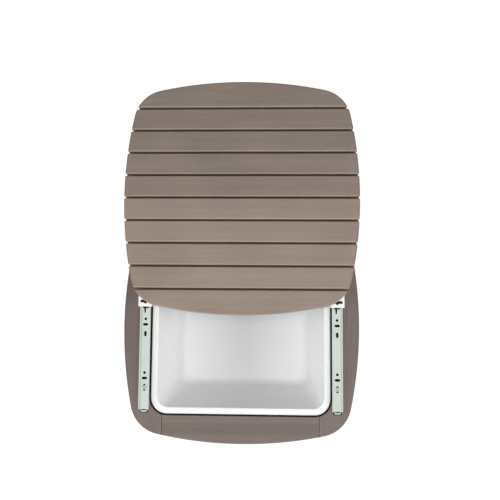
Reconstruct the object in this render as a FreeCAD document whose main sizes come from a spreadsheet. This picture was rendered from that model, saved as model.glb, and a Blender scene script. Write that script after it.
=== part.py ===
# A low square garden table whose slatted top slides back on two ball-bearing slides
# and uncovers a white ice bucket hanging in a boarded rim.
# Millimetres, +Z up, +Y towards the back, origin on the floor under the middle of the base.
# The top is drawn partly open, by the distance named rest_opening.
import FreeCAD, Part
import math
import os
import re
import Sketcher
from FreeCAD import Rotation, Vector

SIZES = {
    # outline that the top, the rim boards and the cladding share
    "outline_half": 225,
    "side_radius": 762,
    "corner_radius": 65,
    "table_height": 450,
    # composite boards of the top and the rim
    "board_thick": 18,
    "slat_extra": 14,
    "slat_shift": 1.6,
    "slat_gap": 3.5,
    "slat_corner": 2,
    "board_round": 2,
    "seam_inset": 76.3,
    "seam_gap": 0.4,
    "rim_width": 52,
    "opening_corner": 33.5,
    # ball-bearing slides, lying flat between rim and top
    "rest_opening": 241.3,
    "middle_share": 0.678,
    "slide_thick": 10,
    "slide_margin": 42,
    "slide_length": 300,
    "slide_inset": 63,
    "middle_setback": 30,
    "inner_half": 10,
    "middle_half": 13.5,
    "outer_half": 17.5,
    "inner_sheet": 1.2,
    "middle_sheet": 1,
    "outer_sheet": 1.2,
    "outer_lift": 0.6,
    "cage_sheet": 0.4,
    "slide_play": 0.3,
    "bend_round": 0.5,
    "groove_depth": 0.8,
    "groove_lip": 1,
    "inner_cage_length": 60,
    "outer_cage_length": 120,
    "ball_pitch": 13,
    "ball_bite": 0.05,
    # holes along the inner rail, measured from its front end
    "hole_radius": 2.6,
    "slot_width": 4.8,
    "slot_length": 10,
    "front_hole": 68.1,
    "front_cross_slot": 57.8,
    "rear_long_slot": 141.8,
    "rear_cross_slot": 159.4,
    "rear_hole": 169.9,
    "stem_start": 181.5,
    "stem_length": 9.2,
    "stem_offset": 1.6,
    "stem_half": 1.9,
    "stem_tip_half": 1.1,
    "bar_half": 5.8,
    "bar_width": 2.8,
    "rail_screw_first": 40.5,
    "rail_screw_span": 221.5,
    "fixing_slot_length": 13.2,
    "tab_length": 5,
    "tab_half": 7,
    "tab_end_half": 5.2,
    "tab_lip": 2.4,
    "tab_slot_half": 5,
    "tab_slot_length": 2,
    "tab_slot_inset": 0.3,
    # routed reliefs under each inner rail: between its screws, and round its front tab
    "relief_half": 6.5,
    "relief_depth": 12,
    "relief_margin": 10,
    "tab_relief_half": 7.4,
    "tab_relief_length": 6.6,
    # notched window in the front end of the middle rail
    "window_length": 5.2,
    "window_half": 9.7,
    "window_start": 7.6,
    "notch_half": 2.4,
    "notch_depth": 1.9,
    "bumper_drop": 0.2,
    # screws
    "screw_radius": 1.8,
    "head_radius": 3.9,
    "head_height": 1.6,
    "head_edge": 1,
    "head_flat_radius": 2.8,
    "screw_bite": 12,
    "pilot_play": 0.05,
    "pass_play": 0.3,
    "end_screw_inset": 40,
    "end_screw_share": 0.4,
    "side_screw_inset": 47,
    "side_screw_margin": 85,
    # aluminium panel under the slats
    "panel_thick": 3,
    "panel_inset": 0.6,
    "column_inset": 95,
    # ice bucket
    "bucket_gap": 2.5,
    "bucket_drop": 1,
    "bucket_rim": 12.5,
    "bucket_wall": 3,
    "bucket_depth": 190,
    "bucket_draft": 6.5,
    "bucket_corner": 21,
    "bucket_floor_round": 16,
    "rim_round": 2.5,
    # frame, cladding and feet
    "cladding_inset": 8,
    "cladding_thick": 12,
    "cladding_gap": 3,
    "cladding_lift": 16,
    "frame_height": 25,
    "frame_plate": 4,
    "frame_band": 3,
    "frame_play": 1,
    "frame_corner": 24,
    "lower_ledge": 87,
    "lower_opening_corner": 30,
    "post_inset": 62,
    "post_radius": 10,
    "post_wall": 2,
    "foot_height": 20,
    "foot_radius": 15,
    "foot_stem_radius": 7.5,
    "foot_stem_height": 18,
    "foot_round": 3,
}
SLAT_COUNT = 10
RAIL_SLATS = (2, 4, 6)
COLUMNS = ("-column_spread", "0", "column_spread")
SLIDES = ("-slide_spread", "slide_spread")
PLANKS_PER_SIDE = 6
BALL_ROWS = (("inner", 4), ("outer", 8))

# Sizes, heights and distances that follow from those above
FOLLOWING = {
    "slat_pitch": "(2 * outline_half - slat_extra) / %d" % SLAT_COUNT,
    "seam_half": "outline_half - seam_inset",
    "opening_half": "outline_half - rim_width",
    "slide_spread": "outline_half - slide_margin",
    "post_spread": "outline_half - post_inset",
    "column_spread": "outline_half - column_inset",
    "lower_opening_half": "outline_half - lower_ledge",
    "end_screw_x": "end_screw_share * outline_half",
    "end_screw_y": "outline_half - end_screw_inset",
    "side_screw_x": "outline_half - side_screw_inset",
    "side_screw_y": "outline_half - side_screw_margin",
    "top_level": "table_height - board_thick",
    "slat_level": "top_level + panel_thick",
    "slat_thick": "board_thick - panel_thick",
    "rim_level": "top_level - slide_thick",
    "frame_level": "rim_level - board_thick",
    "rail_front": "slide_inset - outline_half",
    "rail_screws_span": "%d * slat_pitch" % (RAIL_SLATS[-1] - RAIL_SLATS[0]),
    "middle_length": "slide_length - middle_setback",
    "middle_front": "rail_front + middle_setback + middle_share * rest_opening",
    "inner_height": "slide_thick - outer_sheet - middle_sheet - 2 * cage_sheet - 4 * slide_play",
    "inner_cage_top": "inner_height + slide_play + cage_sheet",
    "middle_top": "inner_cage_top + slide_play + middle_sheet",
    "outer_cage_top": "middle_top + slide_play + cage_sheet",
    "inner_ball_x": "(middle_half - middle_sheet + inner_half - groove_depth) / 2",
    "inner_ball_z": "(inner_sheet + inner_height - groove_lip) / 2",
    "inner_ball_radius": "middle_half - middle_sheet - inner_ball_x - slide_play",
    "outer_ball_x": "(outer_half - outer_sheet + middle_half) / 2",
    "outer_ball_z": "slide_thick / 2 - groove_lip",
    "outer_ball_radius": "outer_half - outer_sheet - outer_ball_x - slide_play",
    "cages_middle": "rail_front + (middle_setback + slide_length + middle_share * rest_opening) / 2",
    "inner_cage_front": "cages_middle - inner_cage_length / 2",
    "outer_cage_front": "cages_middle + (rest_opening - outer_cage_length) / 2",
    "bucket_half": "opening_half - bucket_gap",
    "bucket_top": "rim_level - bucket_drop",
    "mouth_half": "bucket_half - bucket_rim",
    "frame_inset": "cladding_inset + cladding_thick",
}

doc = FreeCAD.newDocument("ice_bucket_table")
sheet = doc.addObject("Spreadsheet::Sheet", "sizes")
rows = {name: str(size) for name, size in SIZES.items()}
rows.update({name: "=" + formula for name, formula in FOLLOWING.items()})
for row, (name, content) in enumerate(rows.items(), start=1):
    sheet.set("A%d" % row, name)
    sheet.setAlias("B%d" % row, name)
    sheet.set("B%d" % row, content)
doc.recompute()


def expression(text):
    """Plain size names turned into references to the sheet."""
    return re.sub(r"[a-z]\w*", lambda word: "sizes." + word.group(), str(text))


def number(text):
    """Present value of an expression."""
    return float(sheet.evalExpression(expression(text)))


def bind(item, **texts):
    """Binds properties to the sheet; x, y and z stand for the position."""
    for name, text in texts.items():
        path = ".Placement.Base." + name if name in "xyz" else name
        item.setExpression(path, expression(text))


def place(item, x="0", y="0", z="0"):
    bind(item, x=x, y=y, z=z)
    return item


# Sketches and features inside one body

def new_body(label, x="0", y="0", z="0"):
    body = doc.addObject("PartDesign::Body", label)
    body.Label = label
    return place(body, x, y, z)


def origin_feature(body, role):
    return next(item for item in body.Origin.OriginFeatures if item.Role == role)


def new_sketch(body, name, plane="XY_Plane", offset="0"):
    """A sketch on one of the body's own planes, moved along its normal."""
    sketch = body.newObject("Sketcher::SketchObject", name)
    sketch.AttachmentSupport = (origin_feature(body, plane), [""])
    sketch.MapMode = "FlatFace"
    sketch.setExpression(".AttachmentOffset.Base.z", expression(offset))
    return sketch


def fix(sketch, kind, *references, to):
    """One driving constraint whose value follows the sheet."""
    index = sketch.addConstraint(Sketcher.Constraint(kind, *references, number(to)))
    sketch.setExpression("Constraints[%d]" % index, expression(to))


def pin(sketch, edge, point, x, y):
    """Holds a point of an edge at x, y of the sketch."""
    fix(sketch, "DistanceX", -1, 1, edge, point, to=x)
    fix(sketch, "DistanceY", -1, 1, edge, point, to=y)


def polygon(sketch, points):
    """A closed outline of straight edges through points given as expressions."""
    corners = [Vector(number(x), number(y), 0) for x, y in points]
    first = sketch.GeometryCount
    count = len(points)
    for index in range(count):
        edge = Part.LineSegment(corners[index], corners[(index + 1) % count])
        sketch.addGeometry(edge, False)
    for index in range(count):
        following = first + (index + 1) % count
        sketch.addConstraint(Sketcher.Constraint("Coincident", first + index, 2, following, 1))
    for index, (x, y) in enumerate(points):
        pin(sketch, first + index, 1, x, y)


def rectangle(sketch, left, front, right, back):
    polygon(sketch, [(left, front), (right, front), (right, back), (left, back)])


def square(half):
    """Arguments of rectangle for a square about the origin."""
    return "-(%s)" % half, "-(%s)" % half, half, half


def circle(sketch, x, y, radius):
    centre = Vector(number(x), number(y), 0)
    edge = sketch.addGeometry(Part.Circle(centre, Vector(0, 0, 1), number(radius)), False)
    pin(sketch, edge, 3, x, y)
    fix(sketch, "Radius", edge, to=radius)


def long_hole(sketch, x, y, length, width, across):
    """A slot with round ends; across runs it along the sketch's x."""
    reach = number("(%s - %s) / 2" % (length, width))
    radius = number(width + " / 2")
    centre = Vector(number(x), number(y), 0)
    run = Vector(1, 0, 0) if across else Vector(0, 1, 0)
    side = Vector(-run.y, run.x, 0) * radius
    start = math.pi / 2 if across else math.pi
    far = centre + run * reach
    near = centre - run * reach
    first = sketch.GeometryCount
    sketch.addGeometry(Part.LineSegment(near - side, far - side), False)
    arc = Part.Circle(far, Vector(0, 0, 1), radius)
    sketch.addGeometry(Part.ArcOfCircle(arc, start - math.pi, start), False)
    sketch.addGeometry(Part.LineSegment(far + side, near + side), False)
    arc = Part.Circle(near, Vector(0, 0, 1), radius)
    sketch.addGeometry(Part.ArcOfCircle(arc, start, start + math.pi), False)
    for index in range(4):
        following = first + (index + 1) % 4
        sketch.addConstraint(Sketcher.Constraint("Tangent", first + index, 2, following, 1))
    half = "(%s - %s) / 2" % (length, width)
    if across:
        pin(sketch, first + 1, 3, "%s + %s" % (x, half), y)
        pin(sketch, first + 3, 3, "%s - %s" % (x, half), y)
    else:
        pin(sketch, first + 1, 3, x, "%s + %s" % (y, half))
        pin(sketch, first + 3, 3, x, "%s - %s" % (y, half))
    fix(sketch, "Radius", first + 1, to=width + " / 2")


def rounded_square(sketch, half, corner):
    """A square about the origin with round corners."""
    reach = number(half)
    radius = number(corner)
    flat = reach - radius
    for turn in range(4):
        rotation = Rotation(Vector(0, 0, 1), 90 * turn)
        start = rotation.multVec(Vector(-flat, -reach, 0))
        end = rotation.multVec(Vector(flat, -reach, 0))
        sketch.addGeometry(Part.LineSegment(start, end), False)
        arc = Part.Circle(rotation.multVec(Vector(flat, -flat, 0)), Vector(0, 0, 1), radius)
        begin = math.pi / 2 * (turn - 1)
        sketch.addGeometry(Part.ArcOfCircle(arc, begin, begin + math.pi / 2), False)
    for index in range(8):
        sketch.addConstraint(Sketcher.Constraint("Tangent", index, 2, (index + 1) % 8, 1))
    for edge, kind in ((0, "Horizontal"), (2, "Vertical"), (4, "Horizontal"), (6, "Vertical")):
        sketch.addConstraint(Sketcher.Constraint(kind, edge))
    for edge in (3, 5, 7):
        sketch.addConstraint(Sketcher.Constraint("Equal", 1, edge))
    fix(sketch, "Radius", 1, to=corner)
    fix(sketch, "DistanceY", 0, 1, -1, 1, to=half)
    fix(sketch, "DistanceX", -1, 1, 2, 1, to=half)
    fix(sketch, "DistanceY", -1, 1, 4, 1, to=half)
    fix(sketch, "DistanceX", 6, 1, -1, 1, to=half)


def four_arcs(sketch, half, radius):
    """Four wide arcs, one bulging out of each side, that meet at sharp corners."""
    bulge = number(radius)
    back = bulge - number(half)
    corner = (math.sqrt(2 * bulge ** 2 - back ** 2) - back) / 2
    reach = math.atan2(corner, corner + back)
    for turn in range(4):
        facing = math.pi / 2 * turn
        centre = Vector(-back * math.cos(facing), -back * math.sin(facing), 0)
        arc = Part.Circle(centre, Vector(0, 0, 1), bulge)
        sketch.addGeometry(Part.ArcOfCircle(arc, facing - reach, facing + reach), False)
    for turn in range(4):
        sketch.addConstraint(Sketcher.Constraint("Coincident", turn, 2, (turn + 1) % 4, 1))
        sketch.addConstraint(Sketcher.Constraint("PointOnObject", turn, 3, -1 - turn % 2))
    for turn in range(1, 4):
        sketch.addConstraint(Sketcher.Constraint("Equal", 0, turn))
    fix(sketch, "Radius", 0, to=radius)
    offset = "%s - (%s)" % (radius, half)
    fix(sketch, "DistanceX", 0, 3, -1, 1, to=offset)
    fix(sketch, "DistanceY", 1, 3, -1, 1, to=offset)
    fix(sketch, "DistanceX", -1, 1, 2, 3, to=offset)
    fix(sketch, "DistanceY", -1, 1, 3, 3, to=offset)


def pad(body, name, sketch, length, reverse=False):
    feature = body.newObject("PartDesign::Pad", name)
    feature.Profile = sketch
    feature.Reversed = reverse
    bind(feature, Length=length)
    doc.recompute()
    return feature


def pocket(body, name, sketch, depth=None, reverse=False):
    """Cuts to a depth, or right through both ways when no depth is given."""
    feature = body.newObject("PartDesign::Pocket", name)
    feature.Profile = sketch
    if depth is None:
        feature.Type = "ThroughAll"
        feature.Midplane = True
    else:
        feature.Reversed = reverse
        bind(feature, Length=depth)
    before = body.Shape.Volume if body.Shape.Solids else 0
    doc.recompute()
    if feature.Shape.Volume >= before:
        raise ValueError("%s in %s cuts nothing" % (name, body.Label))
    return feature


def rounded(body, name, radius, chosen):
    """Rounds the edges of the body's last feature that the function chosen picks."""
    base = body.Tip
    names = []
    for index, edge in enumerate(base.Shape.Edges, start=1):
        if chosen(edge):
            names.append("Edge%d" % index)
    feature = body.newObject("PartDesign::Fillet", name)
    feature.Base = (base, names)
    bind(feature, Radius=radius)
    doc.recompute()
    return feature


def turned(body, name, points):
    """A solid turned about the body's Z axis from a profile of radius and height."""
    sketch = new_sketch(body, name + "_profile", "XZ_Plane")
    polygon(sketch, points)
    feature = body.newObject("PartDesign::Revolution", name)
    feature.Profile = sketch
    feature.ReferenceAxis = (sketch, ["V_Axis"])
    doc.recompute()
    return feature


def repeated(body, name, feature, *steps):
    """Copies a feature along the axes: each step is an axis, its whole span and a count."""
    spread = body.newObject("PartDesign::MultiTransform", name)
    spread.Originals = [feature]
    patterns = []
    for axis, span, count in steps:
        pattern = body.newObject("PartDesign::LinearPattern", name + "_" + axis.lower())
        pattern.Direction = (origin_feature(body, axis + "_Axis"), [""])
        bind(pattern, Length=span)
        pattern.Occurrences = count
        patterns.append(pattern)
    spread.Transformations = patterns
    body.Tip = spread
    doc.recompute()
    return spread


# Edge pickers

def is_upright(edge):
    return abs(edge.tangentAt(edge.FirstParameter).z) > 0.9


def lies_at(edge, height):
    box = edge.BoundBox
    return abs(box.ZMin - height) < 0.01 and abs(box.ZMax - height) < 0.01


def is_upright_at(edge, lines):
    """An upright edge that stands on one of the lines y = value."""
    where = edge.Vertexes[0].Point.y
    return is_upright(edge) and any(abs(where - line) < 0.01 for line in lines)


def runs_along(edge):
    return abs(edge.tangentAt(edge.FirstParameter).y) > 0.99


# Plain solids and booleans

def block(name, low, high):
    """A box between two corners given as expressions."""
    item = doc.addObject("Part::Box", name)
    bind(item, Length="(%s) - (%s)" % (high[0], low[0]))
    bind(item, Width="(%s) - (%s)" % (high[1], low[1]))
    bind(item, Height="(%s) - (%s)" % (high[2], low[2]))
    return place(item, *low)


def cylinder(name, radius, height, x="0", y="0", z="0"):
    item = doc.addObject("Part::Cylinder", name)
    bind(item, Radius=radius, Height=height)
    return place(item, x, y, z)


def cut(label, base, tool):
    item = doc.addObject("Part::Cut", label)
    item.Base = base
    item.Tool = tool
    item.Label = label
    return item


def shared(label, base, tool):
    item = doc.addObject("Part::Common", label)
    item.Base = base
    item.Tool = tool
    item.Label = label
    return item


def joined(label, items):
    item = doc.addObject("Part::MultiFuse", label)
    item.Shapes = items
    item.Label = label
    return item


def rounded_off(label, base, radius, chosen):
    """Rounds the edges of a plain solid that the function chosen picks."""
    size = number(radius)
    item = doc.addObject("Part::Fillet", label)
    item.Base = base
    item.Label = label
    item.Edges = [(index, size, size) for index, edge in enumerate(base.Shape.Edges, start=1)
                  if chosen(edge)]
    return item


def outline_block(name, inset, height, z, y="0"):
    """The table's rounded outline, drawn in by an inset and padded upwards."""
    body = new_body(name, y=y, z=z)
    sketch = new_sketch(body, name + "_outline")
    four_arcs(sketch, "outline_half - %s" % inset, "side_radius - %s" % inset)
    pad(body, name + "_pad", sketch, height)
    rounded(body, name + "_corners", "corner_radius - %s" % inset, is_upright)
    return body


# Sliding top

def slat_lines(number_from_front):
    """Front and back line of a slat, as expressions in the top's own frame."""
    step = number_from_front - SLAT_COUNT // 2
    front = "%d * slat_pitch - slat_shift + slat_gap / 2" % step
    back = "%d * slat_pitch - slat_shift - slat_gap / 2" % (step + 1)
    if number_from_front == 0:
        front = "-outline_half - slat_pitch"
    if number_from_front == SLAT_COUNT - 1:
        back = "outline_half + slat_pitch"
    return front, back


def slat_middle(number_from_front):
    return "(%.1f * slat_pitch - slat_shift)" % (number_from_front - (SLAT_COUNT - 1) / 2)


def top_slat(index):
    """One board of the top, cut from the whole outline and rounded along its upper edges."""
    body = new_body("top_slat_%d" % (index + 1), y="rest_opening", z="slat_level")
    outline = new_sketch(body, "outline")
    four_arcs(outline, "outline_half", "side_radius")
    pad(body, "board", outline, "slat_thick")
    rounded(body, "table_corners", "corner_radius", is_upright)
    front, back = slat_lines(index)
    rest = new_sketch(body, "rest_of_outline")
    rectangle(rest, *square("outline_half + 2 * slat_pitch"))
    reach = "(outline_half + slat_pitch)"
    rectangle(rest, "-" + reach, front, reach, back)
    pocket(body, "saw_cuts", rest)
    lines = (number(front), number(back))
    rounded(body, "end_corners", "slat_corner", lambda edge: is_upright_at(edge, lines))
    rounded(body, "upper_edges", "board_round", lambda edge: lies_at(edge, number("slat_thick")))
    pilots = new_sketch(body, "pilots")
    for spot in COLUMNS:
        circle(pilots, spot, slat_middle(index), "screw_radius + pilot_play")
    if index in RAIL_SLATS:
        for spot in SLIDES:
            circle(pilots, spot, slat_middle(index), "screw_radius + pilot_play")
    pocket(body, "pilot_holes", pilots, "screw_bite", reverse=True)
    return body


def top_panel():
    """A thin aluminium sheet, a little smaller than the top, that carries all its slats."""
    body = outline_block("top_panel", "panel_inset", "panel_thick", "top_level", y="rest_opening")
    holes = new_sketch(body, "holes")
    for index in range(SLAT_COUNT):
        for spot in COLUMNS:
            circle(holes, spot, slat_middle(index), "screw_radius + pass_play")
    for index in RAIL_SLATS:
        for spot in SLIDES:
            circle(holes, spot, slat_middle(index), "screw_radius + pass_play")
    pocket(body, "screw_holes", holes)
    return body


def pan_profile(length):
    """Half profile of a pan-head screw that points up, its head below zero."""
    return [
        ("0", "-head_height"),
        ("head_radius", "-head_height"),
        ("head_radius", "0"),
        ("screw_radius", "0"),
        ("screw_radius", length),
        ("0", length),
    ]


def slat_screws():
    """Pan-head screws up through the panel, in three columns."""
    first = slat_middle(0)
    body = new_body("slat_screws", "-column_spread", "rest_opening + " + first, "top_level")
    body.AllowCompound = True
    screw = turned(body, "screw", pan_profile("panel_thick + screw_bite - pass_play"))
    span = "%d * slat_pitch" % (SLAT_COUNT - 1)
    repeated(body, "rows", screw, ("X", "2 * column_spread", len(COLUMNS)), ("Y", span, SLAT_COUNT))
    return body


# Slides

def channel(body, name, points, length):
    """A bent strip that runs along Y: half a section in x and z, mirrored and padded."""
    section = new_sketch(body, name + "_section", "XZ_Plane")
    mirrored = [("-(%s)" % x, z) for x, z in reversed(points)]
    polygon(section, points + mirrored)
    return pad(body, name, section, length, reverse=True)


def inner_rail(side, x):
    """Fixed member: an open channel with a groove for the balls down each outer side."""
    body = new_body("inner_rail_" + side, x, "rail_front", "rim_level")
    groove = "inner_half - groove_depth"
    channel(body, "strip", [
        ("inner_half", "0"),
        ("inner_half", "inner_sheet"),
        (groove, "inner_sheet"),
        (groove, "inner_height - groove_lip"),
        ("inner_half", "inner_height - groove_lip"),
        ("inner_half", "inner_height"),
        (groove + " - inner_sheet", "inner_height"),
        (groove + " - inner_sheet", "inner_sheet"),
    ], "slide_length")
    long_edges = (0, number("inner_height"))
    wide = number("inner_half")
    rounded(body, "bends", "bend_round", lambda edge: runs_along(edge)
            and abs(abs(edge.Vertexes[0].Point.x) - wide) < 0.01
            and any(lies_at(edge, level) for level in long_edges))
    tab = new_sketch(body, "tab_outline")
    polygon(tab, [("-tab_half", "0"), ("-tab_end_half", "-tab_length"),
                  ("tab_end_half", "-tab_length"), ("tab_half", "0")])
    pad(body, "tab", tab, "inner_sheet")
    lip = new_sketch(body, "lip_outline")
    rectangle(lip, "-tab_end_half", "-tab_length", "tab_end_half", "inner_sheet - tab_length")
    pad(body, "tab_lip", lip, "tab_lip")
    holes = new_sketch(body, "holes")
    circle(holes, "0", "front_hole", "hole_radius")
    circle(holes, "0", "rear_hole", "hole_radius")
    long_hole(holes, "0", "front_cross_slot", "slot_length", "slot_width", True)
    long_hole(holes, "0", "rear_cross_slot", "slot_length", "slot_width", True)
    long_hole(holes, "0", "rear_long_slot", "slot_length", "slot_width", False)
    fixing_width = "2 * (screw_radius + pass_play)"
    for spot in ("rail_screw_first", "rail_screw_first + rail_screw_span"):
        long_hole(holes, "0", spot, "fixing_slot_length", fixing_width, False)
    rectangle(holes, "-tab_slot_half", "-tab_slot_inset - tab_slot_length",
              "tab_slot_half", "-tab_slot_inset")
    bar_start = "stem_start + stem_length"
    bar_end = bar_start + " + bar_width"
    polygon(holes, [
        ("-stem_offset - stem_tip_half", "stem_start"),
        ("stem_tip_half - stem_offset", "stem_start"),
        ("stem_half - stem_offset", bar_start),
        ("bar_half", bar_start),
        ("bar_half", bar_end),
        ("-bar_half", bar_end),
        ("-bar_half", bar_start),
        ("-stem_offset - stem_half", bar_start),
    ])
    pocket(body, "cut_outs", holes)
    return body


def window_outline(body, name, offset="0"):
    """A wide opening with a notch in the middle of its front edge."""
    sketch = new_sketch(body, name, offset=offset)
    tip = "window_start - notch_depth"
    end = "window_start + window_length"
    polygon(sketch, [
        ("-window_half", "window_start"),
        ("-notch_half", "window_start"),
        ("-notch_half", tip),
        ("notch_half", tip),
        ("notch_half", "window_start"),
        ("window_half", "window_start"),
        ("window_half", end),
        ("-window_half", end),
    ])
    return sketch


def middle_rail(side, x):
    """Travelling member: a shallow hood over the inner rail, with a window in its front end."""
    body = new_body("middle_rail_" + side, x, "middle_front", "rim_level")
    inside = "middle_half - middle_sheet"
    low = "inner_sheet - slide_play"
    channel(body, "strip", [
        ("middle_half", "middle_top"),
        ("middle_half", low),
        (inside, low),
        (inside, "middle_top - middle_sheet"),
    ], "middle_length")
    wide = number("middle_half")
    top = number("middle_top")
    rounded(body, "bends", "bend_round", lambda edge: runs_along(edge)
            and abs(abs(edge.Vertexes[0].Point.x) - wide) < 0.01 and lies_at(edge, top))
    pocket(body, "window", window_outline(body, "window_outline"))
    return body


def bumper(side, x):
    """Moulded insert pressed into the window of the middle rail."""
    body = new_body("bumper_" + side, x, "middle_front", "rim_level")
    outline = window_outline(body, "insert_outline", "middle_top - middle_sheet")
    pad(body, "insert", outline, "middle_sheet - bumper_drop")
    return body


def outer_rail(side, x):
    """Member under the top: a hood round the middle rail, fixed up into the slats."""
    front = "rest_opening + rail_front"
    body = new_body("outer_rail_" + side, x, front, "rim_level")
    inside = "outer_half - outer_sheet"
    channel(body, "strip", [
        ("outer_half", "slide_thick"),
        ("outer_half", "outer_lift"),
        (inside + " - outer_sheet", "outer_lift"),
        (inside + " - outer_sheet", "outer_lift + outer_sheet"),
        (inside, "outer_lift + outer_sheet"),
        (inside, "slide_thick - outer_sheet"),
    ], "slide_length")
    wide = number("outer_half")
    rounded(body, "bends", "bend_round", lambda edge: runs_along(edge)
            and abs(abs(edge.Vertexes[0].Point.x) - wide) < 0.01)
    sink = new_sketch(body, "sink_profile", "XZ_Plane",
                      "rail_front - " + slat_middle(RAIL_SLATS[0]))
    polygon(sink, [
        ("0", "slide_thick - outer_sheet"),
        ("screw_radius + outer_sheet", "slide_thick - outer_sheet"),
        ("screw_radius", "slide_thick"),
        ("0", "slide_thick"),
    ])
    groove = body.newObject("PartDesign::Groove", "sink")
    groove.Profile = sink
    groove.ReferenceAxis = (sink, ["V_Axis"])
    doc.recompute()
    repeated(body, "sinks", groove, ("Y", "rail_screws_span", len(RAIL_SLATS)))
    return body


def outer_rail_screws():
    """Flat-head screws up through the outer rails, flush with their inside."""
    body = new_body("outer_rail_screws", "-slide_spread",
                    "rest_opening + " + slat_middle(RAIL_SLATS[0]), "top_level - outer_sheet")
    body.AllowCompound = True
    length = "outer_sheet + panel_thick + screw_bite - pass_play"
    screw = turned(body, "screw", [
        ("0", "0"),
        ("screw_radius + outer_sheet", "0"),
        ("screw_radius", "outer_sheet"),
        ("screw_radius", length),
        ("0", length),
    ])
    repeated(body, "rows", screw, ("X", "2 * slide_spread", 2),
             ("Y", "rail_screws_span", len(RAIL_SLATS)))
    return body


def inner_rail_screws():
    """Pan-head screws down through the inner rails into the rim boards."""
    front = "rail_front + rail_screw_first"
    body = new_body("inner_rail_screws", "-slide_spread", front, "rim_level + inner_sheet")
    body.AllowCompound = True
    length = "inner_sheet + screw_bite - pass_play"
    screw = turned(body, "screw", [
        ("0", "-(%s)" % length),
        ("screw_radius", "-(%s)" % length),
        ("screw_radius", "0"),
        ("head_radius", "0"),
        ("head_radius", "head_edge"),
        ("head_flat_radius", "head_height"),
        ("0", "head_height"),
    ])
    repeated(body, "rows", screw, ("X", "2 * slide_spread", 2), ("Y", "rail_screw_span", 2))
    return body


def cage(label, x, kind, count):
    """A bent strip over a rail that holds a row of balls down each side."""
    body = new_body(label, x, kind + "_cage_front", "rim_level")
    middle = kind + "_ball_x"
    top = kind + "_cage_top"
    low = "%s_ball_z - %s_ball_radius - cage_sheet" % (kind, kind)
    channel(body, "strip", [
        (middle + " + cage_sheet", top),
        (middle + " + cage_sheet", low),
        (middle + " - cage_sheet", low),
        (middle + " - cage_sheet", top + " - cage_sheet"),
    ], kind + "_cage_length")
    holes = new_sketch(body, "holes", "YZ_Plane")
    for index in range(count):
        along = "%s_cage_length / 2 + %.1f * ball_pitch" % (kind, index - (count - 1) / 2)
        circle(holes, along, kind + "_ball_z", kind + "_ball_radius - ball_bite")
    pocket(body, "seats", holes)
    return body


def half_disc(body, radius):
    """Half a disc about the origin, closed along the upright axis."""
    sketch = new_sketch(body, "half_disc", "XZ_Plane")
    size = number(radius)
    whole = Part.Circle(Vector(), Vector(0, 0, 1), size)
    sketch.addGeometry(Part.ArcOfCircle(whole, -math.pi / 2, math.pi / 2), False)
    sketch.addGeometry(Part.LineSegment(Vector(0, size, 0), Vector(0, -size, 0)), False)
    for constraint in (("Coincident", 0, 2, 1, 1), ("Coincident", 1, 2, 0, 1),
                       ("Coincident", 0, 3, -1, 1),
                       ("PointOnObject", 1, 1, -2), ("PointOnObject", 1, 2, -2)):
        sketch.addConstraint(Sketcher.Constraint(*constraint))
    fix(sketch, "Radius", 0, to=radius)
    return sketch


def balls(label, x, kind, count):
    """The steel balls of one cage, as separate spheres in two rows."""
    span = "%d * ball_pitch" % (count - 1)
    first = "%s_cage_front + (%s_cage_length - %s) / 2" % (kind, kind, span)
    middle = kind + "_ball_x"
    body = new_body(label, "%s - %s" % (x, middle), first, "rim_level + %s_ball_z" % kind)
    body.AllowCompound = True
    sketch = half_disc(body, kind + "_ball_radius")
    sphere = body.newObject("PartDesign::Revolution", "ball")
    sphere.Profile = sketch
    sphere.ReferenceAxis = (sketch, ["V_Axis"])
    doc.recompute()
    repeated(body, "rows", sphere, ("X", "2 * " + middle, 2), ("Y", span, count))
    return body


def ball_bearings(side, x):
    """Both cages of one slide with their balls, halfway between the members they part."""
    pieces = []
    for kind, count in BALL_ROWS:
        pieces.append(cage("%s_cage_%s" % (kind, side), x, kind, count))
        pieces.append(balls("%s_balls_%s" % (kind, side), x, kind, count))
    return pieces


# Rim boards

def rim_blank():
    """The whole rim in one piece, before it is sawn into four boards."""
    body = new_body("rim_blank", z="frame_level")
    outline = new_sketch(body, "outline")
    four_arcs(outline, "outline_half", "side_radius")
    pad(body, "board", outline, "board_thick")
    rounded(body, "table_corners", "corner_radius", is_upright)
    opening = new_sketch(body, "opening")
    rounded_square(opening, "opening_half", "opening_corner")
    pocket(body, "bucket_opening", opening)
    rounded(body, "upper_edges", "board_round", lambda edge: lies_at(edge, number("board_thick")))
    below = new_sketch(body, "pilots_below")
    for x_sign in ("", "-"):
        for y_sign in ("", "-"):
            circle(below, x_sign + "end_screw_x", y_sign + "end_screw_y",
                   "screw_radius + pilot_play")
            circle(below, x_sign + "side_screw_x", y_sign + "side_screw_y",
                   "screw_radius + pilot_play")
    pocket(body, "pilot_holes_below", below, "screw_bite", reverse=True)
    relief = new_sketch(body, "reliefs", offset="board_thick")
    front = "rail_front + rail_screw_first + relief_margin"
    back = "rail_front + rail_screw_first + rail_screw_span - relief_margin"
    for x in SLIDES:
        rectangle(relief, x + " - relief_half", front, x + " + relief_half", back)
        rectangle(relief, x + " - tab_relief_half", "rail_front - tab_relief_length",
                  x + " + tab_relief_half", "rail_front")
    pocket(body, "relief_grooves", relief, "relief_depth")
    above = new_sketch(body, "pilots_above", offset="board_thick")
    for x in SLIDES:
        circle(above, x, "rail_front + rail_screw_first", "screw_radius + pilot_play")
        circle(above, x, "rail_front + rail_screw_first + rail_screw_span",
               "screw_radius + pilot_play")
    pocket(body, "pilot_holes_above", above, "screw_bite")
    return body


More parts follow.
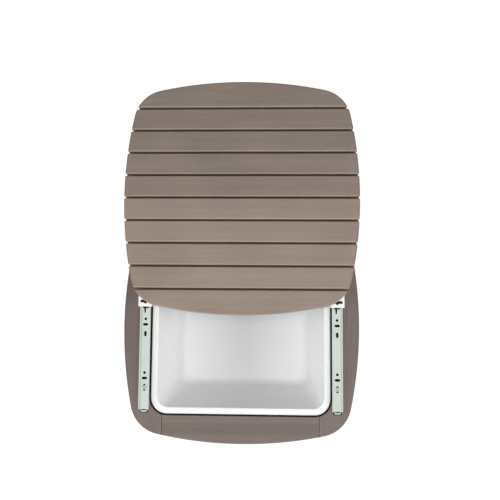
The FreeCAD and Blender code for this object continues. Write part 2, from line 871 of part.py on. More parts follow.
def rim_boards():
    """Two side boards that take in the corners, and a front and a back board between them."""
    blank = rim_blank()
    reach = "outline_half + board_thick"
    inner = "seam_half - seam_gap / 2"
    outer = "seam_half + seam_gap / 2"
    areas = {
        "front": (("-(%s)" % inner, "-(%s)" % reach), (inner, "0")),
        "back": (("-(%s)" % inner, "0"), (inner, reach)),
        "left": (("-(%s)" % reach, "-(%s)" % reach), ("-(%s)" % outer, reach)),
        "right": ((outer, "-(%s)" % reach), (reach, reach)),
    }
    boards = []
    for side, (low, high) in areas.items():
        area = block(side + "_area", (*low, "frame_level - board_thick"), (*high, "top_level"))
        boards.append(shared("rim_board_" + side, blank, area))
    return boards


def rim_screws():
    """Pan-head screws up through the frame into the rim boards."""
    profile = pan_profile("frame_plate + screw_bite - pass_play")
    level = "frame_level - frame_plate"
    ends = new_body("rim_screws_ends", "-end_screw_x", "-end_screw_y", level)
    ends.AllowCompound = True
    screw = turned(ends, "screw", profile)
    repeated(ends, "rows", screw, ("X", "2 * end_screw_x", 2), ("Y", "2 * end_screw_y", 2))
    sides = new_body("rim_screws_sides", "-side_screw_x", "-side_screw_y", level)
    sides.AllowCompound = True
    screw = turned(sides, "screw", profile)
    repeated(sides, "rows", screw, ("X", "2 * side_screw_x", 2), ("Y", "2 * side_screw_y", 2))
    return joined("rim_screws", [ends, sides])


# Ice bucket

def tub(name, half, depth, corner, floor_round):
    """A square block that tapers downwards, with round corners and a round foot."""
    body = new_body(name, z="bucket_top")
    mouth = new_sketch(body, name + "_mouth")
    rectangle(mouth, *square(half))
    sides = pad(body, name + "_sides", mouth, depth, reverse=True)
    bind(sides, TaperAngle="-bucket_draft")
    doc.recompute()
    rounded(body, name + "_corners", corner, is_upright)
    foot_level = number("-(%s)" % depth)
    rounded(body, name + "_foot", floor_round, lambda edge: lies_at(edge, foot_level))
    return body


def bucket():
    """A tapered square tub with a flat rim and a skirt that stands on the frame."""
    skirt = "board_thick - bucket_drop"
    outer_corner = "bucket_corner + bucket_rim - rim_round"
    rim = new_body("bucket_rim", z="bucket_top")
    outline = new_sketch(rim, "rim_outline")
    rounded_square(outline, "bucket_half", outer_corner)
    pad(rim, "rim", outline, skirt, reverse=True)
    rounded(rim, "rim_edge", "rim_round", lambda edge: lies_at(edge, 0))
    under = new_sketch(rim, "skirt_hollow", offset="-(%s)" % skirt)
    rounded_square(under, "bucket_half - bucket_wall", outer_corner + " - bucket_wall")
    pocket(rim, "hollow_under_rim", under, skirt + " - bucket_wall", reverse=True)
    outside = tub("bucket_outside", "mouth_half + bucket_wall", "bucket_depth + bucket_wall",
                  "bucket_corner + bucket_wall", "bucket_floor_round + bucket_wall")
    inside = tub("bucket_inside", "mouth_half", "bucket_depth", "bucket_corner", "bucket_floor_round")
    whole = joined("bucket_solid", [rim, outside])
    sharp = cut("bucket_sharp", whole, inside)
    doc.recompute()
    top = number("bucket_top")
    reach = number("mouth_half + rim_round / 2")
    return rounded_off("ice_bucket", sharp, "rim_round", lambda edge: lies_at(edge, top)
                       and edge.BoundBox.XMax < reach and edge.BoundBox.XMin > -reach
                       and edge.BoundBox.YMax < reach and edge.BoundBox.YMin > -reach)


# Frame, cladding and feet

def opening_block(name, half, corner, low, height):
    body = new_body(name, z=low)
    sketch = new_sketch(body, name + "_outline")
    rounded_square(sketch, half, corner)
    pad(body, name + "_pad", sketch, height)
    return body


def hoop(label, low, hollow_low, half, corner):
    """A plate with a square opening and a band down or up its outline."""
    solid = outline_block(label + "_solid", "frame_inset", "frame_height", low)
    hollow = outline_block(label + "_hollow", "(frame_inset + frame_band)",
                           "frame_height - frame_plate", hollow_low)
    opening = opening_block(label + "_opening", half, corner, low, "frame_height")
    return cut(label + "_open", cut(label + "_shell", solid, hollow), opening)


def upper_frame():
    """Plate on top, band hanging down: it carries the rim boards and the bucket's skirt."""
    low = "frame_level - frame_height"
    plain = hoop("upper_frame", low, low, "mouth_half + bucket_wall + frame_play", "frame_corner")
    drills = []
    for x_sign in ("", "-"):
        for y_sign in ("", "-"):
            for x, y in (("end_screw_x", "end_screw_y"), ("side_screw_x", "side_screw_y")):
                drills.append(cylinder("frame_drill", "screw_radius + pass_play", "frame_height",
                                       x_sign + x, y_sign + y, low))
    return cut("upper_frame", plain, joined("frame_drills", drills))


def lower_frame():
    """Plate below, band standing up: it takes the feet and the lower ends of the cladding."""
    plain = hoop("lower_frame", "foot_height", "foot_height + frame_plate",
                 "lower_opening_half", "lower_opening_corner")
    drills = []
    for x in ("-post_spread", "post_spread"):
        for y in ("-post_spread", "post_spread"):
            drills.append(cylinder("foot_drill", "foot_stem_radius + pilot_play", "frame_height",
                                   x, y, "foot_height"))
    return cut("lower_frame", plain, joined("foot_drills", drills))


def corner_spots():
    for depth, y in (("front", "-post_spread"), ("back", "post_spread")):
        for side, x in (("left", "-post_spread"), ("right", "post_spread")):
            yield depth + "_" + side, x, y


def post(name, x, y):
    """A round aluminium tube welded between the two plates."""
    low = "foot_height + frame_plate"
    height = "frame_level - frame_plate - (%s)" % low
    tube = cylinder("tube_" + name, "post_radius", height, x, y, low)
    bore = cylinder("bore_" + name, "post_radius - post_wall", height, x, y, low)
    return cut("post_" + name, tube, bore)


def foot(name, x, y):
    """A moulded glide whose stem is pushed up into the post."""
    body = new_body("foot_" + name, x, y)
    turned(body, "glide", [
        ("0", "0"),
        ("foot_radius", "0"),
        ("foot_radius", "foot_height"),
        ("foot_stem_radius", "foot_height"),
        ("foot_stem_radius", "foot_height + foot_stem_height"),
        ("0", "foot_height + foot_stem_height"),
    ])
    rounded(body, "glide_edge", "foot_round", lambda edge: lies_at(edge, 0))
    return body


def cladding():
    """Upright planks down every side and a moulded piece round every corner."""
    height = "frame_level - cladding_lift"
    skin = outline_block("cladding_skin", "cladding_inset", height, "cladding_lift")
    core = outline_block("cladding_core", "frame_inset", height, "cladding_lift")
    shell = cut("cladding_shell", skin, core)
    half = "seam_half - cladding_gap / 2"
    reach = "outline_half"
    low = "cladding_lift"
    areas = {
        "front": (("-(%s)" % half, "-" + reach), (half, "-seam_half"), "x"),
        "back": (("-(%s)" % half, "seam_half"), (half, reach), "x"),
        "left": (("-" + reach, "-(%s)" % half), ("-seam_half", half), "y"),
        "right": (("seam_half", "-(%s)" % half), (reach, half), "y"),
    }
    pieces = []
    for side, (near, far, run) in areas.items():
        area = block(side + "_face", (*near, low), (*far, "frame_level"))
        face = shared(side + "_planks_whole", shell, area)
        saws = []
        for index in range(1, PLANKS_PER_SIDE):
            middle = "(%.4f * seam_half)" % (2 * index / PLANKS_PER_SIDE - 1)
            before = middle + " - cladding_gap / 2"
            after = middle + " + cladding_gap / 2"
            if run == "x":
                saws.append(block("saw", (before, near[1], low), (after, far[1], "frame_level")))
            else:
                saws.append(block("saw", (near[0], before, low), (far[0], after, "frame_level")))
        pieces.append(cut("planks_" + side, face, joined(side + "_saws", saws)))
    start = "seam_half + cladding_gap / 2"
    for depth, y_range in (("front", ("-" + reach, "-(%s)" % start)), ("back", (start, reach))):
        for side, x_range in (("left", ("-" + reach, "-(%s)" % start)), ("right", (start, reach))):
            area = block("corner_area", (x_range[0], y_range[0], low),
                         (x_range[1], y_range[1], "frame_level"))
            pieces.append(shared("corner_cladding_%s_%s" % (depth, side), shell, area))
    return pieces


def build_table():
    pieces = [top_slat(index) for index in range(SLAT_COUNT)]
    pieces.append(top_panel())
    pieces.append(slat_screws())
    for side, x in (("left", "-slide_spread"), ("right", "slide_spread")):
        pieces.append(inner_rail(side, x))
        pieces.append(middle_rail(side, x))
        pieces.append(bumper(side, x))
        pieces.append(outer_rail(side, x))
        pieces.extend(ball_bearings(side, x))
    pieces.append(outer_rail_screws())
    pieces.append(inner_rail_screws())
    pieces.extend(rim_boards())
    pieces.append(rim_screws())
    pieces.append(bucket())
    pieces.append(upper_frame())
    pieces.append(lower_frame())
    for name, x, y in corner_spots():
        pieces.append(post(name, x, y))
        pieces.append(foot(name, x, y))
    pieces.extend(cladding())
    return pieces


def check(pieces):
    for item in doc.Objects:
        if "Invalid" in item.State or "Error" in item.State:
            raise ValueError("%s failed: %s" % (item.Label, item.State))
    for piece in pieces:
        if piece.Shape.isNull() or not piece.Shape.isValid() or not piece.Shape.Solids:
            raise ValueError("%s has no valid shape" % piece.Label)


parts = build_table()
doc.recompute()
check(parts)
os.makedirs("parts", exist_ok=True)
for part in parts:
    part.Shape.exportStep("parts/%s.step" % part.Label)
    box = part.Shape.BoundBox
    print("%-28s solids %2d  volume %9.0f  z %.1f to %.1f" % (
        part.Label, len(part.Shape.Solids), part.Shape.Volume, box.ZMin, box.ZMax))
print(len(parts), "nodes")
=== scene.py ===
import math

import bpy
import numpy as np
from mathutils.geometry import tessellate_polygon
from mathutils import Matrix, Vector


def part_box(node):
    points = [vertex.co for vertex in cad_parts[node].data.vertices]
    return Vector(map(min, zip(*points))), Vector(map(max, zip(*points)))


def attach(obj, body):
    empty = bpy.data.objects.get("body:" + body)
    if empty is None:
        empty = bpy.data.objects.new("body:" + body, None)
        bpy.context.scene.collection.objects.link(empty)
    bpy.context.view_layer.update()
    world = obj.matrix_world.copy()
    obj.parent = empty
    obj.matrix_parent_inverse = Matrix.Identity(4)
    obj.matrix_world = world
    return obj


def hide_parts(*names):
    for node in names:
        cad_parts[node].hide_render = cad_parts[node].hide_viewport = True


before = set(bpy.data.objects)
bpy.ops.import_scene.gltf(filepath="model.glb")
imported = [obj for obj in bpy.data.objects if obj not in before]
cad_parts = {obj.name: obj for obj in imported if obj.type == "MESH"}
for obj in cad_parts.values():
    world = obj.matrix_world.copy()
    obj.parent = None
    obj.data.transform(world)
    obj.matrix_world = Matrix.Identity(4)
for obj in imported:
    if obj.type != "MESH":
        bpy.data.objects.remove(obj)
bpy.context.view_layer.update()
print("frame loaded with", len(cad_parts), "nodes")

sides = ("left", "right")
quarters = {"front_left": (-1, -1), "front_right": (1, -1), "back_left": (-1, 1), "back_right": (1, 1)}

# Outline of the table, in metres
outline = {
    "half": 0.22495,         # middle of each side from the centre
    "sideRadius": 0.76195,   # wide arc of each side
    "cornerRadius": 0.06495,
}


def outlineField(x, y):
    # distance to the table's outline, negative inside: four wide discs cross in a sharp lens,
    # the lens is drawn in by the corner radius and swollen again, so its corners come out round
    reach = outline["sideRadius"] - outline["cornerRadius"]
    back = outline["sideRadius"] - outline["half"]
    corner = (math.sqrt(2 * reach ** 2 - back ** 2) - back) / 2
    ax, ay = np.abs(x), np.abs(y)
    side = np.maximum(np.hypot(ax + back, ay), np.hypot(ax, ay + back)) - reach
    slope = corner / (corner + back)
    beyond = (ay > slope * (ax + back)) & (ax > slope * (ay + back))
    return np.where(beyond, np.hypot(ax - corner, ay - corner), side) - outline["cornerRadius"]


def squareField(x, y, half, corner):
    # distance to a square with round corners, negative inside: the distance to a smaller sharp
    # square less the corner's radius
    ax, ay = np.abs(x) - (half - corner), np.abs(y) - (half - corner)
    outside = np.hypot(np.maximum(ax, 0), np.maximum(ay, 0))
    return outside + np.minimum(np.maximum(ax, ay), 0) - corner


def meet(a, b, radius):
    # two distance fields crossed, the larger of both, with the corner between them rounded
    both = np.hypot(np.maximum(a + radius, 0), np.maximum(b + radius, 0))
    return np.minimum(np.maximum(a, b), -radius) + both


# Boards are rings of points round a line, one above the other
boardLook = {
    "fanPoints": 160,        # rays round each end of the line
    "rayReach": 0.12,
    "turnShare": 1.2,        # how much the points crowd where the edge turns
    "turnMost": 0.5,         # a sharper turn than this, in radians, counts no more
    "edgeRings": 5,          # rings round each rounded edge
    "hold": 0.0004,          # a flat face's last ring lies this far inside its edge
    "nearLine": 0.0015,      # a point this close to a line counts as lying on it
    "evenShare": 0.4,        # share of an upper edge's painted highlight that is the same all round
    "facing": 0.5,           # an edge that faces the front by more than this keeps its painted highlight
    "gapShade": -0.9,         # walls in a gap are painted near black, as shade
    # the hollows' walls and floors are painted near black, as shade
    "hollowShade": -0.95,
}


def raysRound(spine):
    # rays off the right of a line, in half a fan round its end, off its left and round its start
    run = np.gradient(spine, axis=0)
    run /= np.linalg.norm(run, axis=1, keepdims=True)
    right = np.stack([run[:, 1], -run[:, 0]], 1)
    turn = np.linspace(0, math.pi, boardLook["fanPoints"])[1:-1]

    def fan(first):
        # ways turned on from the first by up to half a turn, as (cos, sin) of their angle
        angle = math.atan2(first[1], first[0]) + turn
        return np.stack([np.cos(angle), np.sin(angle)], 1)

    starts = np.concatenate([spine, np.repeat(spine[-1:], len(turn), 0),
                             spine[::-1], np.repeat(spine[:1], len(turn), 0)])
    ways = np.concatenate([right, fan(right[-1]), -right[::-1], fan(-right[0])])
    return starts, ways


def ringAt(field, starts, ways, inset, limit, halvings=30):
    # where each ray meets the line that lies inset inside the edge, by halving what is left of it
    near, far = np.zeros(len(starts)), np.full(len(starts), limit)
    for _ in range(halvings):
        middle = (near + far) / 2
        x, y = (starts + ways * middle[:, None]).T
        inside = field(x, y) < -inset
        near, far = np.where(inside, middle, near), np.where(inside, far, middle)
    return starts + ways * near[:, None]


def spreadRays(field, spine, count):
    # as many rays as wanted, at even steps of a measure: length along the edge plus a share of its turn
    look = boardLook
    starts, ways = raysRound(spine)
    ring = ringAt(field, starts, ways, 0, look["rayReach"])
    step = np.roll(ring, -1, 0) - ring
    length = np.hypot(*step.T)
    heading = np.arctan2(step[:, 1], step[:, 0])
    turn = np.abs((heading - np.roll(heading, 1) + math.pi) % (2 * math.pi) - math.pi)
    turnPart = look["turnShare"] * np.minimum(turn, look["turnMost"]) / (2 * math.pi)
    measure = np.cumsum(length / length.sum() + turnPart)
    wanted = np.linspace(measure[0], measure[-1], count, endpoint=False)
    at = np.interp(wanted, measure, np.arange(len(measure)))
    index = np.arange(len(starts))
    starts = np.stack([np.interp(at, index, column) for column in starts.T], 1)
    ways = np.stack([np.interp(at, index, column) for column in ways.T], 1)
    return starts, ways / np.linalg.norm(ways, axis=1, keepdims=True)


def edgeRows(low, high, upper, lower):
    # inset and height of each ring: round an edge of radius r both follow a quarter circle,
    # r - r sin a and r - r cos a, and a ring just inside each flat face holds it flat
    turn = np.linspace(0, math.pi / 2, boardLook["edgeRings"])
    hold = boardLook["hold"]
    under = [(lower * (1 - math.sin(a)), low + lower * (1 - math.cos(a))) for a in turn]
    over = [(upper * (1 - math.cos(a)), high - upper * (1 - math.sin(a))) for a in turn]
    return [(lower + hold, low)] + under + over + [(upper + hold, high)]


def ringFaces(rows, columns):
    # quads between closed rings, point (r, c) with (r, c + 1), (r + 1, c + 1) and (r + 1, c), and one
    # flat face over the first and the last ring
    row, column = np.meshgrid(np.arange(rows - 1), np.arange(columns), indexing="ij")
    after = (column + 1) % columns
    quads = np.stack([row * columns + column, row * columns + after,
                      (row + 1) * columns + after, (row + 1) * columns + column], -1)
    first = np.arange(columns)[::-1]
    last = np.arange(columns) + (rows - 1) * columns
    return quads.reshape(-1, 4).tolist() + [first.tolist(), last.tolist()]


def board(field, spine, box, rounds, count):
    # an upright board: the same closed edge drawn in a little more or less on every ring
    low, high = box
    starts, ways = spreadRays(field, spine, count)
    rings = []
    for inset, z in edgeRows(low.z, high.z, *rounds):
        flat = ringAt(field, starts, ways, inset, boardLook["rayReach"])
        rings.append(np.column_stack([flat, np.full(len(flat), z)]))
    return np.concatenate(rings), ringFaces(len(rings), count)


def boardToneAndShading(shape, look, tone, shift=0.0, gap=None):
    # one tone for the whole board, with painted light: a painted highlight on its rounded upper edge,
    # stronger the more it faces the front, and a little painted shade round the table's outline; below
    # that edge the board is painted near black, as shade, where the field gap is close to zero
    rings = shape[0].reshape(-1, look["points"], 3)
    tones = np.full(rings.shape[:2], tone)
    first = -boardLook["edgeRings"]
    edge = rings[first]
    along = np.roll(edge, -1, 0) - np.roll(edge, 1, 0)
    forward = along[:, 0] / np.maximum(np.hypot(along[:, 0], along[:, 1]), 1e-9)
    even = boardLook["evenShare"]
    light = look["edgeHighlight"] * (even + (1 - even) * forward)
    onOutline = np.abs(outlineField(edge[:, 0], edge[:, 1] - shift)) < boardLook["nearLine"]
    tones[first:-1] += np.where(onOutline & (forward < boardLook["facing"]), look["outlineShade"], light)
    if gap is not None:
        wall = np.abs(gap(rings[..., 0], rings[..., 1])) < boardLook["nearLine"]
        tones[:first + 1][wall[:first + 1]] = boardLook["gapShade"]
    return tones.ravel()


def sinkHollows(shape, look, boxes):
    # rectangular hollows in the upper face: each has three rings of four corners, sides and a
    # floor, and triangles fill the face between the board's last ring and the outermost of them
    points, faces = shape
    level, hold = points[-1, 2], boardLook["hold"]
    start = len(points)
    last = start - look["points"]
    outers, inners = [], []
    for left, front, right, back in boxes:
        square = np.array([(left, front), (right, front), (right, back), (left, back)])
        wider = square + hold * np.array([(-1, -1), (1, -1), (1, 1), (-1, 1)])
        outers.append(np.column_stack([wider, np.full(4, level)]))
        inners += [np.column_stack([square, np.full(4, z)]) for z in (level, level - look["hollowDepth"])]
    loops = [points[last:].tolist()] + [outer.tolist() for outer in outers]
    triangles = np.array(tessellate_polygon(loops)) + last
    points = np.concatenate([points, *outers, *inners])
    corner = points[triangles]
    cross = np.cross(corner[:, 1] - corner[:, 0], corner[:, 2] - corner[:, 0])[:, 2]
    triangles = np.where(cross[:, None] > 0, triangles, triangles[:, ::-1])
    faces = faces[:-1] + triangles.tolist()
    for index in range(len(boxes)):
        edge = start + 4 * len(boxes) + 8 * index
        rings = (start + 4 * index, edge, edge + 4)
        for upper, lower in zip(rings, rings[1:]):
            faces += [[upper + turn, upper + (turn + 1) % 4, lower + (turn + 1) % 4, lower + turn]
                      for turn in range(4)]
        faces.append(list(range(edge + 4, edge + 8)))
    return points, faces


def levelSpine(reach, y, count):
    # a straight line along X at one y, as far to the left as to the right
    return np.stack([np.linspace(-reach, reach, count), np.full(count, y)], 1)


def lineInside(inset, first, last, count, limit=0.4):
    # a line that keeps its distance from the outline, between two bearings from the centre
    bearing = np.linspace(first, last, count)
    ways = np.stack([np.cos(bearing), np.sin(bearing)], 1)
    return ringAt(outlineField, np.zeros((count, 2)), ways, inset, limit)


def joinParts(parts):
    # several closed shapes in one mesh, each one's face numbers raised by the points before it
    points, faces, start = [], [], 0
    for partPoints, partFaces in parts:
        points.append(partPoints)
        faces.extend([[corner + start for corner in face] for face in partFaces])
        start += len(partPoints)
    return np.concatenate(points), faces


def addPiece(name, shape, material, body, nodes, tones=None):
    # a smooth mesh with a tone at each point that rides a body and stands for one or more nodes
    points, faces = shape
    mesh = bpy.data.meshes.new(name)
    mesh.from_pydata(points.tolist(), [], faces)
    mesh.polygons.foreach_set("use_smooth", np.ones(len(mesh.polygons), bool))
    tone = mesh.attributes.new("tone", "FLOAT", "POINT")
    tone.data.foreach_set("value", np.zeros(len(points)) if tones is None else tones)
    mesh.materials.append(material)
    piece = bpy.data.objects.new(name, mesh)
    bpy.context.scene.collection.objects.link(piece)
    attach(piece, body)
    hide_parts(*nodes)
    return piece


# Materials
def startMaterial(name):
    # a principled shader and its output
    material = bpy.data.materials.new(name)
    material.use_nodes = True
    tree = material.node_tree
    tree.nodes.clear()
    shader = tree.nodes.new("ShaderNodeBsdfPrincipled")
    end = tree.nodes.new("ShaderNodeOutputMaterial")
    tree.links.new(shader.outputs["BSDF"], end.inputs["Surface"])
    return material, tree, shader


def addNode(tree, kind, settings=None, **sockets):
    # a node with its settings and sockets, each socket a number or another node's output
    made = tree.nodes.new("ShaderNode" + kind)
    for key, value in (settings or {}).items():
        setattr(made, key, value)
    for key, value in sockets.items():
        socket = made.inputs[int(key[2:])] if key.startswith("at") else made.inputs[key.replace("_", " ")]
        if isinstance(value, bpy.types.NodeSocket):
            tree.links.new(value, socket)
        else:
            socket.default_value = value
    return made


def calculate(tree, operation, first, second=0.0):
    # a sum, product or the like of two values; an absolute value takes the first alone
    return addNode(tree, "Math", {"operation": operation}, at0=first, at1=second).outputs[0]


def noiseAlong(tree, scales, detail=2.0, rough=0.5):
    # noise on object coordinates, drawn out by three scales in waves per metre
    place = addNode(tree, "TexCoord").outputs["Object"]
    drawn = addNode(tree, "Mapping", Vector=place, Scale=scales).outputs[0]
    made = addNode(tree, "TexNoise", Vector=drawn, Scale=1.0, Detail=detail, Roughness=rough)
    return made.outputs["Fac"]


def spreadColor(tree, factor, color, spread):
    # from color x (1 - spread), where the factor is 0, to color x (1 + spread), where it is 1
    dark = tuple(part * (1 - spread) for part in color)
    light = tuple(min(part * (1 + spread), 1) for part in color)
    mixed = addNode(tree, "Mix", {"data_type": "RGBA"}, Factor=factor, at6=(*dark, 1), at7=(*light, 1))
    return mixed.outputs[2]


def setGloss(tree, shader, factor, roughness, spread):
    # roughness that goes with a factor over a spread below and above its plain value
    below, above = spread
    gloss = addNode(tree, "MapRange", Value=factor, To_Min=roughness + below, To_Max=roughness + above)
    tree.links.new(gloss.outputs["Result"], shader.inputs["Roughness"])


def addBump(tree, shader, height, strength, distance):
    # normals that follow a height of at most distance, in metres
    made = addNode(tree, "Bump", Height=height, Strength=strength, Distance=distance)
    tree.links.new(made.outputs["Normal"], shader.inputs["Normal"])


compositeLook = {
    "streakPitch": 1000.0,   # fine lines across the grain, per metre
    "bandPitch": 130.0,
    "alongShare": 0.02,      # how slowly both change along the grain
    "cloudPitch": 9.0,
    "streak": 0.52,
    "band": 0.36,
    "cloud": 0.4,
    "bump": 0.25,
    "bumpDepth": 0.0004,
    "glossSpread": (-0.06, 0.08),
    # painted light and shade: the front and back rim boards are darker along their middle line than
    # at their long edges
    "valleyLine": 0.198,
    "valleyReach": 0.018,
    "valleyShades": (-0.08, 0.13),
}


def valleyShade(tree):
    # painted shade and light: a tone that goes smoothly from low on a line to high some way off, either
    # side
    look = compositeLook
    place = addNode(tree, "TexCoord").outputs["Object"]
    forward = addNode(tree, "SeparateXYZ", Vector=place).outputs["Y"]
    fromLine = calculate(tree, "SUBTRACT", calculate(tree, "ABSOLUTE", forward), look["valleyLine"])
    low, high = look["valleyShades"]
    return addNode(tree, "MapRange", {"interpolation_type": "SMOOTHSTEP"},
                   Value=calculate(tree, "ABSOLUTE", fromLine), From_Max=look["valleyReach"],
                   To_Min=low, To_Max=high).outputs["Result"]


def compositeMaterial(name, color, grain, roughness=0.47, valley=False):
    # brushed wood-look composite: the sum of fine lines and wider bands along the grain, slow clouds
    # and the piece's own tone, with its painted light and shade, goes from black over the plain
    # colour, in its middle, to twice the colour
    look = compositeLook
    material, tree, shader = startMaterial(name)
    along = [1.0, 1.0, 1.0]
    along["XYZ".index(grain)] = look["alongShare"]
    streaks = noiseAlong(tree, [look["streakPitch"] * part for part in along], 3.0, 0.6)
    bands = noiseAlong(tree, [look["bandPitch"] * part for part in along])
    clouds = noiseAlong(tree, [look["cloudPitch"]] * 3)
    total = calculate(tree, "MULTIPLY", streaks, look["streak"])
    total = calculate(tree, "ADD", total, calculate(tree, "MULTIPLY", bands, look["band"]))
    total = calculate(tree, "ADD", total, calculate(tree, "MULTIPLY", clouds, look["cloud"]))
    tone = addNode(tree, "Attribute", {"attribute_name": "tone"}).outputs["Fac"]
    total = calculate(tree, "ADD", total, tone)
    if valley:
        total = calculate(tree, "ADD", total, valleyShade(tree))
    middle = (look["streak"] + look["band"] + look["cloud"]) / 2
    share = addNode(tree, "MapRange", Value=total, From_Min=middle - 1, From_Max=middle + 1)
    tree.links.new(spreadColor(tree, share.outputs["Result"], color, 1), shader.inputs["Base Color"])
    setGloss(tree, shader, streaks, roughness, look["glossSpread"])
    addBump(tree, shader, streaks, look["bump"], look["bumpDepth"])
    return material


plasticLook = {
    "peelPitch": 900.0,      # orange peel, per metre
    "cloudPitch": 14.0,
    "shadeSpread": 0.03,
    "glossSpread": (-0.05, 0.05),
    "bump": 0.06,
    "bumpDepth": 0.0002,
}


def plasticMaterial(name, color, roughness, specular=0.5):
    # moulded plastic: a trace of orange peel over slow clouds of gloss and shade, times 1 + tone,
    # which carries painted shade
    look = plasticLook
    material, tree, shader = startMaterial(name)
    shader.inputs["Specular IOR Level"].default_value = specular
    peel = noiseAlong(tree, [look["peelPitch"]] * 3)
    clouds = noiseAlong(tree, [look["cloudPitch"]] * 3, 3.0)
    mixed = spreadColor(tree, clouds, color, look["shadeSpread"])
    tone = addNode(tree, "Attribute", {"attribute_name": "tone"}).outputs["Fac"]
    scale = calculate(tree, "ADD", tone, 1.0)
    toned = addNode(tree, "VectorMath", {"operation": "SCALE"}, at0=mixed, Scale=scale).outputs[0]
    tree.links.new(toned, shader.inputs["Base Color"])
    setGloss(tree, shader, clouds, roughness, look["glossSpread"])
    addBump(tree, shader, peel, look["bump"], look["bumpDepth"])
    return material


metalLook = {
    "linePitch": 520.0,      # rolling lines, per metre across them
    "alongPitch": 7.0,
    "cloudPitch": 60.0,
    "glossSpread": (-0.08, 0.1),
    "bumpDepth": 0.0001,
}


def metalMaterial(name, color, roughness, lines="Y", metallic=1.0, change=0.1, bump=0.08):
    # sheet or bar metal: the mean of rolling lines along one axis and cloudy plating
    look = metalLook
    material, tree, shader = startMaterial(name)
    shader.inputs["Metallic"].default_value = metallic
    stretched = [look["linePitch"]] * 3
    stretched["XYZ".index(lines)] = look["alongPitch"]
    rolled = noiseAlong(tree, stretched)
    clouds = noiseAlong(tree, [look["cloudPitch"]] * 3, 4.0, 0.6)
    blend = calculate(tree, "MULTIPLY", calculate(tree, "ADD", rolled, clouds), 0.5)
    tree.links.new(spreadColor(tree, blend, color, change), shader.inputs["Base Color"])
    setGloss(tree, shader, clouds, roughness, look["glossSpread"])
    addBump(tree, shader, rolled, bump, look["bumpDepth"])
    return material


finishes = {
    "topBoards": compositeMaterial("topBoards", (0.220, 0.174, 0.145), "X"),
    "rimAcross": compositeMaterial("rimAcross", (0.172, 0.136, 0.122), "X", valley=True),
    "rimAlong": compositeMaterial("rimAlong", (0.148, 0.118, 0.106), "Y"),
    "cladding": compositeMaterial("cladding", (0.225, 0.185, 0.160), "Z"),
    "bucketWhite": plasticMaterial("bucketWhite", (0.93, 0.933, 0.935), 0.3),
    "railZinc": metalMaterial("railZinc", (0.63, 0.69, 0.635), 0.34, change=0.24),
    "middleZinc": metalMaterial("middleZinc", (0.95, 0.96, 0.95), 0.3),
    "screwZinc": metalMaterial("screwZinc", (0.55, 0.6, 0.56), 0.4, "Z"),
    "ballSteel": metalMaterial("ballSteel", (0.75, 0.76, 0.77), 0.12, "Z", bump=0.02),
    "frameCoat": metalMaterial("frameCoat", (0.105, 0.07, 0.05), 0.5, "Z", 0.0, 0.06, 0.2),
    "mouldedBlack": plasticMaterial("mouldedBlack", (0.012, 0.012, 0.013), 0.6, 0.15),
}
print("materials made:", len(finishes))

# Sliding top
slatLook = {
    "count": 10,
    "rounds": (0.0022, 0.0010),   # of the upper and the lower edges
    "endRound": 0.002,       # corners of the slat's ends, seen from above
    "points": 260,
    "spinePoints": 240,
    "spineEnd": 0.028,       # the line that the rays leave from stops this far from the slat's ends
    "spineInset": 0.014,     # and runs this far from the one straight edge of the first and last slat
    "edgeHighlight": 0.42,
    "outlineShade": -0.3,
    # how much lighter or darker each slat is, front to back: painted light, the front slats lighter
    # as if lit from the front, and tone that differs from slat to slat
    "tones": (0.25, 0.27, 0.24, 0.22, 0.23, 0.03, 0.0, -0.02, 0.0, 0.02),
}


def makeSlats():
    # each slat is the table's outline, moved to the top's middle, cut between its two straight edges;
    # the first and the last have one straight edge only
    look = slatLook
    names = ["top_slat_%d" % number for number in range(1, look["count"] + 1)]
    boxes = [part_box(name) for name in names]
    shift = (boxes[0][0].y + boxes[-1][1].y) / 2
    for name, box, tone in zip(names, boxes, look["tones"]):
        low, high = box
        front, back, middle = low.y, high.y, (low.y + high.y) / 2
        if name == names[0]:
            front, middle = -math.inf, high.y - look["spineInset"]
        if name == names[-1]:
            back, middle = math.inf, low.y + look["spineInset"]

        def field(x, y, front=front, back=back):
            # the outline crossed with the strip between front and back
            return meet(outlineField(x, y - shift), np.maximum(front - y, y - back), look["endRound"])

        spine = levelSpine(min(-low.x, high.x) - look["spineEnd"], middle, look["spinePoints"])
        shape = board(field, spine, box, look["rounds"], look["points"])
        tones = boardToneAndShading(shape, look, tone, shift)
        addPiece("board_" + name, shape, finishes["topBoards"], "top", [name], tones)


makeSlats()
print("slats made")

# Rim boards
rimLook = {
    "openingHalf": 0.173,
    "openingCorner": 0.0335,
    "seam": 0.1487,          # seams of the front and back boards with the side boards, from the middle
    "seamGap": 0.00026,
    "seamRound": 0.0002,
    "rounds": (0.002, 0.001),     # of the upper and the lower edges
    "points": 420,
    # line that the rays leave from: in the front and back boards straight, this far out and this
    # far from their ends, in the side boards this far inside the outline and up to this bearing
    "spineLine": 0.197,
    "spineEnd": 0.025,
    "spinePoints": 240,
    "sideInset": 0.026,
    "sideBearing": math.radians(50.5),
    "sidePoints": 300,
    "edgeHighlight": 0.2,
    "outlineShade": -0.25,
    "sideTones": {"left": -0.12, "right": 0.0},
    "frontPaintedLight": 0.27,       # painted light: how much lighter the side boards are in front of the second line than behind the first, where the sliding top shades them
    "frontShadeRamp": (-0.05, -0.16),
    # routed hollows under each slide and in front of and behind its first screw: half width, both ends
    "hollowMiddle": 0.183,
    "hollows": ((0.0065, -0.1115, 0.090), (0.0021, -0.1178, -0.1145), (0.0021, -0.1285, -0.1252),
                (0.0074, -0.1686, -0.162)),
    "hollowDepth": 0.012,
}


def openingField(x, y):
    # distance to the edge of the opening that the bucket hangs in, negative inside it
    return squareField(x, y, rimLook["openingHalf"], rimLook["openingCorner"])


def rimField(x, y):
    # distance to the ring between the table's outline and the opening
    return np.maximum(outlineField(x, y), -openingField(x, y))


